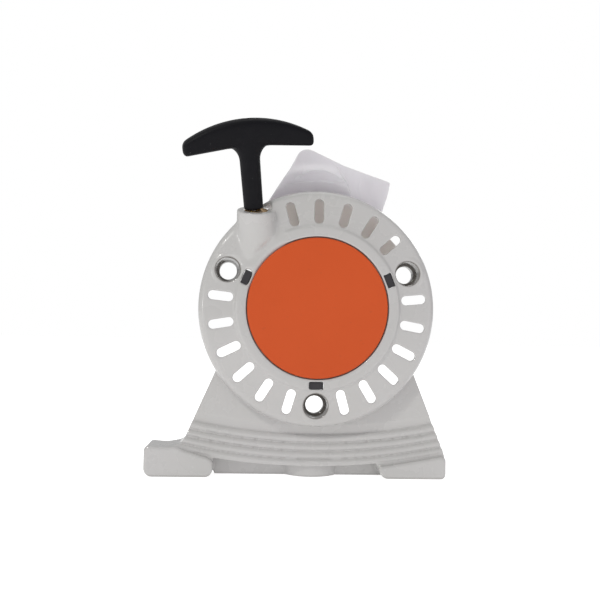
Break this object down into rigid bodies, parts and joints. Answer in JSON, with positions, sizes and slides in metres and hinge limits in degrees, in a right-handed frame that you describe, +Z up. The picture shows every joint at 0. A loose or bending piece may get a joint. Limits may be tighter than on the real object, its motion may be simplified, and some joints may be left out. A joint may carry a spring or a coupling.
{
  "type": "recoil starter",
  "caption": "Pull-rope recoil starter for a small engine: slotted round cover on a ribbed foot, T-shaped grip, rope rotor, rewind spring and swing-out drive pawls.",
  "frame": {"origin": "on the rotor axis, in the plane of the engine face, which is the rear edge of the round wall", "axes": "+Z up, +Y along the rotor axis into the engine, the front of the cover looks along -Y"},
  "size_m": [0.2008, 0.0683, 0.2331],
  "materials": {
    "cover_plastic": "semi-gloss light grey moulded plastic",
    "cap_orange": "satin orange plastic",
    "grip_black": "matt black grained plastic",
    "black_plastic": "matt black plastic",
    "guide_plastic": "milky translucent plastic",
    "rotor_plastic": "dark grey glass-filled nylon",
    "brass": "bright brass",
    "steel": "zinc plated steel",
    "spring_steel": "blued spring steel",
    "rope": "braided starter rope"
  },
  "bodies": {
    "housing": {"starter_housing": "cover_plastic", "center_cap": "cap_orange", "rope_bushing": "brass", "air_guide": "guide_plastic", "air_guide_screws": "steel", "spring_cassette": "black_plastic", "rewind_spring": "spring_steel", "spring_cover_plate": "steel", "cassette_screws": "steel", "axle_sleeve": "steel", "rope_run": "rope", "thrust_washer": "steel", "friction_spring": "spring_steel", "center_screw": "steel"},
    "rotor": {"rope_rotor": "rotor_plastic", "rotor_bush": "brass", "rope_coil": "rope", "rotor_knot": "rope", "pawl_pins": "steel", "pawl_clips": "spring_steel"},
    "guide": {"guide_plate": "steel"},
    "pawl_a": {"pawl_a": "steel"},
    "pawl_b": {"pawl_b": "steel"},
    "rope_carriage": {"rope_pull": "rope", "handle_knot": "rope", "knot_washer": "steel"},
    "handle": {"pull_handle": "grip_black"}
  },
  "joints": [
    {"name": "rotor_spin", "type": "hinge", "parent": "housing", "child": "rotor", "pos_m": [0, -0.001, 0], "axis": [0, 1, 0], "range_deg": [0, 1343.2], "deforming": ["rewind_spring"]},
    {"name": "handle_pull", "type": "slide", "parent": "housing", "child": "rope_carriage", "axis": [-0.0976, -0.3584, 0.9285], "range_m": [0, 0.72]},
    {"name": "handle_twist", "type": "hinge", "parent": "rope_carriage", "child": "handle", "pos_m": [-0.0433, -0.01801, 0.06439], "axis": [-0.0976, -0.3584, 0.9285], "range_deg": [-90, 90]},
    {"name": "guide_turn", "type": "hinge", "parent": "rotor", "child": "guide", "pos_m": [0, 0.0086, 0], "axis": [0, 1, 0], "range_deg": [-4.85, 0]},
    {"name": "pawl_a_swing", "type": "hinge", "parent": "rotor", "child": "pawl_a", "pos_m": [0, 0.0052, 0.02], "axis": [0, 1, 0], "range_deg": [-20, 0.5]},
    {"name": "pawl_b_swing", "type": "hinge", "parent": "rotor", "child": "pawl_b", "pos_m": [0, 0.0052, -0.02], "axis": [0, 1, 0], "range_deg": [-20, 0.5]}
  ],
  "couplings": [
    {"joint": "handle_pull", "follows": "rotor_spin", "m_per_rad": 0.0307},
    {"joint": "pawl_a_swing", "follows": "guide_turn", "ratio": 4.1},
    {"joint": "pawl_b_swing", "follows": "guide_turn", "ratio": 4.1}
  ]
}
